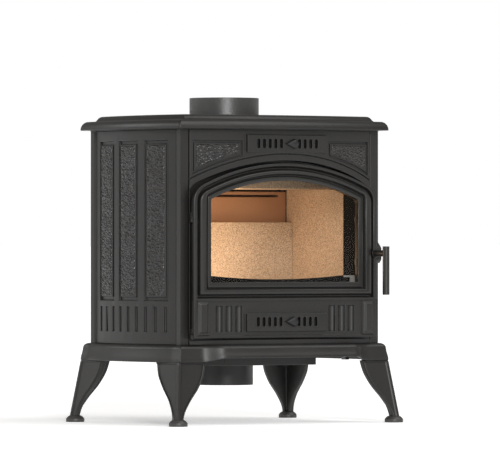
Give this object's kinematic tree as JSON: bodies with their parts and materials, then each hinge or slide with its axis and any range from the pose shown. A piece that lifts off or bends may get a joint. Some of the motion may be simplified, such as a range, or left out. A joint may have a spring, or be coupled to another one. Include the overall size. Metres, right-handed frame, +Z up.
{
  "type": "wood burning stove",
  "caption": "Free-standing cast-iron wood stove on cabriole legs: bowed front and sides, arched glazed door with turning handle, two sliding air shutters, top flue collar, air intake below.",
  "frame": {"origin": "on the floor, under the middle of the overall box", "axes": "+Z up, +X to the right as seen from the front, +Y to the back; the door faces -Y"},
  "size_m": [0.595, 0.4784, 0.7],
  "materials": {
    "black_cast_iron": "matt anthracite stove paint on cast iron",
    "sooty_cast_iron": "bare iron darkened by soot",
    "black_sheet_steel": "matt black painted steel sheet",
    "plain_steel": "plain zinc-grey steel",
    "black_enamelled_grip": "satin black enamel",
    "vermiculite_board": "pressed vermiculite, grainy and matt",
    "glass_fibre_rope": "knitted glass-fibre rope",
    "ceramic_glass": "clear heat-proof glass ceramic"
  },
  "bodies": {
    "stove": {"leg_front_left": "black_cast_iron", "leg_front_right": "black_cast_iron", "leg_rear_left": "black_cast_iron", "leg_rear_right": "black_cast_iron", "foot_discs": "black_cast_iron", "leg_bolts": "plain_steel", "plinth": "black_cast_iron", "bottom_plate": "black_cast_iron", "air_box": "black_sheet_steel", "air_intake_pipe": "black_sheet_steel", "corner_posts": "black_cast_iron", "left_side_plate": "black_cast_iron", "right_side_plate": "black_cast_iron", "back_plate": "black_cast_iron", "front_frame": "black_cast_iron", "top_plate": "black_cast_iron", "flue_collar": "black_cast_iron", "collar_bolts": "plain_steel", "tie_rods": "plain_steel", "tie_rod_nuts": "plain_steel", "hinge_lugs": "black_cast_iron", "hinge_pins": "plain_steel", "latch_keeper": "black_cast_iron", "upper_slider_guides": "black_sheet_steel", "left_fire_brick": "vermiculite_board", "right_fire_brick": "vermiculite_board", "back_fire_brick": "vermiculite_board", "front_cheeks": "sooty_cast_iron", "rear_air_duct": "black_sheet_steel", "fire_bed": "sooty_cast_iron", "grate": "sooty_cast_iron", "log_guard": "sooty_cast_iron", "guard_bracket": "black_sheet_steel", "ash_pan": "black_sheet_steel", "ash_pan_rails": "black_sheet_steel", "smoke_baffle": "vermiculite_board", "smoke_deflector": "black_sheet_steel", "deflector_brackets": "black_sheet_steel"},
    "door": {"door_casting": "black_cast_iron", "door_glass": "ceramic_glass", "glass_gasket": "glass_fibre_rope", "glass_clips": "plain_steel", "clip_screws": "plain_steel", "door_rope_seal": "glass_fibre_rope", "lower_slider_guides": "black_sheet_steel"},
    "handle": {"door_handle": "black_cast_iron", "handle_grip": "black_enamelled_grip", "latch_pawl": "plain_steel", "pawl_nut": "plain_steel"},
    "upper_slider": {"upper_air_slider": "black_sheet_steel", "upper_air_knob": "black_cast_iron"},
    "lower_slider": {"lower_air_slider": "black_sheet_steel", "lower_air_knob": "black_cast_iron"}
  },
  "joints": [
    {"name": "door_hinge", "type": "hinge", "parent": "stove", "child": "door", "pos_m": [-0.23, -0.17375, 0.32], "axis": [0, 0, -1], "range_deg": [0, 110]},
    {"name": "handle_turn", "type": "hinge", "parent": "door", "child": "handle", "pos_m": [0.228, -0.19575, 0.3644], "axis": [0, -1, 0], "range_deg": [0, 60]},
    {"name": "upper_air_slide", "type": "slide", "parent": "stove", "child": "upper_slider", "axis": [-1, 0, 0], "range_m": [0, 0.00725]},
    {"name": "lower_air_slide", "type": "slide", "parent": "door", "child": "lower_slider", "axis": [-1, 0, 0], "range_m": [0, 0.00725]}
  ]
}
